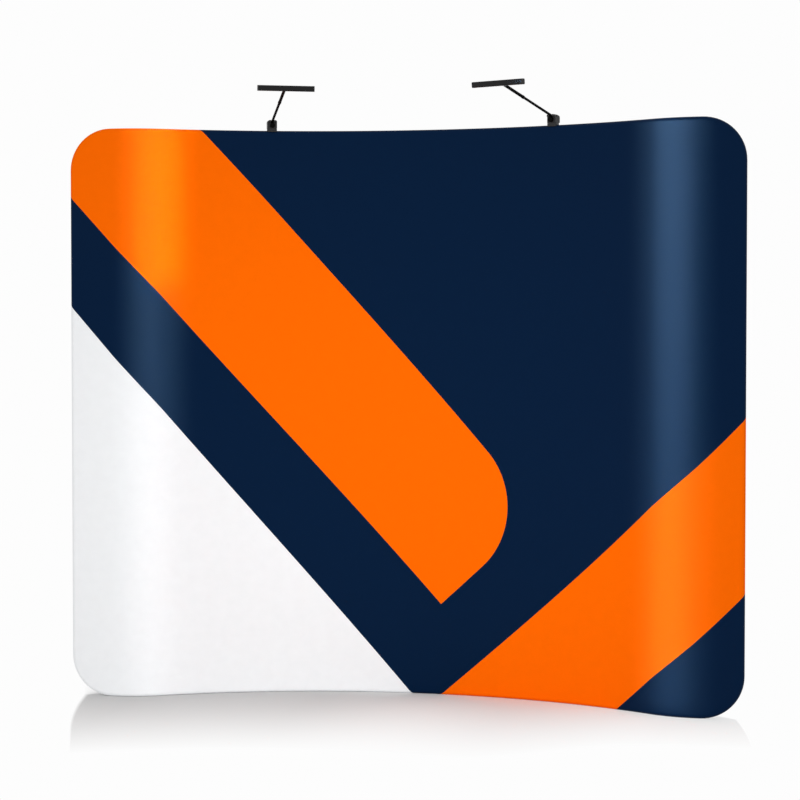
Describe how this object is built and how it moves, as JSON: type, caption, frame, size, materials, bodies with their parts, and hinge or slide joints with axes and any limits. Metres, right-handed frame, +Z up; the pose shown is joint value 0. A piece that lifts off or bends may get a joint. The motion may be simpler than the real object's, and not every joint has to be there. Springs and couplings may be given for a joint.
{
  "type": "pop up display backwall",
  "caption": "Curved free-standing exhibition backwall: stretch fabric cover over a bent tube frame with snap buttons, and arm lamps on the top edge.",
  "frame": {"origin": "on the floor, at the middle of the bottom edge, under the centreline of the bottom tube", "axes": "+X to the right along the width, +Y to the back, +Z up; the printed side faces -Y"},
  "size_m": [2.689, 0.5348, 2.4198],
  "materials": {
    "tube": "satin",
    "saddle": "matte",
    "button": "satin",
    "spring": "satin",
    "printed_fabric": "satin",
    "back_fabric": "matte",
    "zipper_tape": "matte",
    "zipper_chain": "satin",
    "zipper_metal": "satin",
    "fastener": "satin",
    "lamp_body": "satin",
    "arm": "satin",
    "black_plastic": "satin",
    "gland_rubber": "matte",
    "window": "satin"
  },
  "bodies": {
    "stand": {"top_left_tube": "tube", "top_right_tube": "tube", "bottom_left_tube": "tube", "bottom_right_tube": "tube", "upper_left_corner_tube": "tube", "upper_right_corner_tube": "tube", "lower_left_corner_tube": "tube", "lower_right_corner_tube": "tube", "left_pole_lower": "tube", "left_pole_upper": "tube", "right_pole_lower": "tube", "right_pole_upper": "tube", "pole_saddles": "saddle", "button_springs": "spring", "front_graphic": "printed_fabric", "back_panel": "back_fabric", "zipper_lower_tape": "zipper_tape", "zipper_upper_tape": "zipper_tape", "zipper_teeth": "zipper_chain", "zipper_stops": "zipper_metal", "lamp_inserts": "fastener", "cover_eyelets": "fastener", "lamp_bolts": "fastener", "left_lamp_foot": "lamp_body", "right_lamp_foot": "lamp_body"},
    "button_top_left": {"button_top_left": "button"},
    "button_top_middle": {"button_top_middle": "button"},
    "button_top_right": {"button_top_right": "button"},
    "button_bottom_left": {"button_bottom_left": "button"},
    "button_bottom_middle": {"button_bottom_middle": "button"},
    "button_bottom_right": {"button_bottom_right": "button"},
    "button_side_left": {"button_side_left": "button"},
    "button_side_right": {"button_side_right": "button"},
    "button_pole_left": {"button_pole_left": "button"},
    "button_pole_right": {"button_pole_right": "button"},
    "left_turret": {"left_lamp_turret": "lamp_body", "left_lamp_pin": "fastener", "left_lamp_gland": "gland_rubber"},
    "left_knob": {"left_lamp_knob": "black_plastic"},
    "left_arm": {"left_lamp_rod": "arm", "left_lamp_sleeve": "arm"},
    "left_head": {"left_lamp_bracket": "lamp_body", "left_lamp_housing": "lamp_body", "left_lamp_caps": "black_plastic", "left_lamp_window": "window"},
    "right_turret": {"right_lamp_turret": "lamp_body", "right_lamp_pin": "fastener", "right_lamp_gland": "gland_rubber"},
    "right_knob": {"right_lamp_knob": "black_plastic"},
    "right_arm": {"right_lamp_rod": "arm", "right_lamp_sleeve": "arm"},
    "right_head": {"right_lamp_bracket": "lamp_body", "right_lamp_housing": "lamp_body", "right_lamp_caps": "black_plastic", "right_lamp_window": "window"},
    "zipper_slider": {"zipper_slider": "zipper_metal"},
    "zipper_pull": {"zipper_pull": "zipper_metal"}
  },
  "joints": [
    {"name": "left_lamp_swivel", "type": "hinge", "parent": "stand", "child": "left_turret", "pos_m": [-0.57371, -0.08933, 2.2903], "axis": [0, 0, 1], "range_deg": [-90, 90]},
    {"name": "left_knob_turn", "type": "hinge", "parent": "left_turret", "child": "left_knob", "pos_m": [-0.56813, -0.10217, 2.3009], "axis": [0.3987, -0.9171, 0], "range_deg": [-180, 180]},
    {"name": "left_arm_tilt", "type": "hinge", "parent": "left_turret", "child": "left_arm", "pos_m": [-0.57132, -0.09483, 2.3151], "axis": [-0.9171, -0.3987, 0], "range_deg": [-8, 70]},
    {"name": "left_head_tilt", "type": "hinge", "parent": "left_arm", "child": "left_head", "pos_m": [-0.42301, -0.43592, 2.4106], "axis": [0.9171, 0.3987, 0], "range_deg": [-75, 75]},
    {"name": "right_lamp_swivel", "type": "hinge", "parent": "stand", "child": "right_turret", "pos_m": [0.57371, -0.08933, 2.2903], "axis": [0, 0, 1], "range_deg": [-90, 90]},
    {"name": "right_knob_turn", "type": "hinge", "parent": "right_turret", "child": "right_knob", "pos_m": [0.56833, -0.10225, 2.3009], "axis": [-0.3843, -0.9232, 0], "range_deg": [-180, 180]},
    {"name": "right_arm_tilt", "type": "hinge", "parent": "right_turret", "child": "right_arm", "pos_m": [0.5714, -0.09487, 2.3151], "axis": [-0.9232, 0.3843, 0], "range_deg": [-8, 70]},
    {"name": "right_head_tilt", "type": "hinge", "parent": "right_arm", "child": "right_head", "pos_m": [0.42847, -0.43824, 2.4106], "axis": [0.9232, -0.3843, 0], "range_deg": [-75, 75]},
    {"name": "zipper_run", "type": "hinge", "parent": "stand", "child": "zipper_slider", "pos_m": [0, -1.887, 0.0306], "axis": [0, 0, 1], "range_deg": [0, 61.8]},
    {"name": "zipper_pull_flip", "type": "hinge", "parent": "zipper_slider", "child": "zipper_pull", "pos_m": [0.97949, -0.25188, 0.0306], "axis": [0, 0, -1], "range_deg": [0, 180]},
    {"name": "press_top_left", "type": "slide", "parent": "stand", "child": "button_top_left", "axis": [0, 0, 1], "range_m": [0, 0.0046], "stiffness_N_per_m": 1500},
    {"name": "press_top_middle", "type": "slide", "parent": "stand", "child": "button_top_middle", "axis": [0, 0, 1], "range_m": [0, 0.0046], "stiffness_N_per_m": 1500},
    {"name": "press_top_right", "type": "slide", "parent": "stand", "child": "button_top_right", "axis": [0, 0, 1], "range_m": [0, 0.0046], "stiffness_N_per_m": 1500},
    {"name": "press_bottom_left", "type": "slide", "parent": "stand", "child": "button_bottom_left", "axis": [0, 0, -1], "range_m": [0, 0.0046], "stiffness_N_per_m": 1500},
    {"name": "press_bottom_middle", "type": "slide", "parent": "stand", "child": "button_bottom_middle", "axis": [0, 0, -1], "range_m": [0, 0.0046], "stiffness_N_per_m": 1500},
    {"name": "press_bottom_right", "type": "slide", "parent": "stand", "child": "button_bottom_right", "axis": [0, 0, -1], "range_m": [0, 0.0046], "stiffness_N_per_m": 1500},
    {"name": "press_side_left", "type": "slide", "parent": "stand", "child": "button_side_left", "axis": [-1, 0, 0], "range_m": [0, 0.0046], "stiffness_N_per_m": 1500},
    {"name": "press_side_right", "type": "slide", "parent": "stand", "child": "button_side_right", "axis": [1, 0, 0], "range_m": [0, 0.0046], "stiffness_N_per_m": 1500},
    {"name": "press_pole_left", "type": "slide", "parent": "stand", "child": "button_pole_left", "axis": [-0.9724, -0.2334, 0], "range_m": [0, 0.0046], "stiffness_N_per_m": 1500},
    {"name": "press_pole_right", "type": "slide", "parent": "stand", "child": "button_pole_right", "axis": [0.9724, -0.2334, 0], "range_m": [0, 0.0046], "stiffness_N_per_m": 1500}
  ]
}
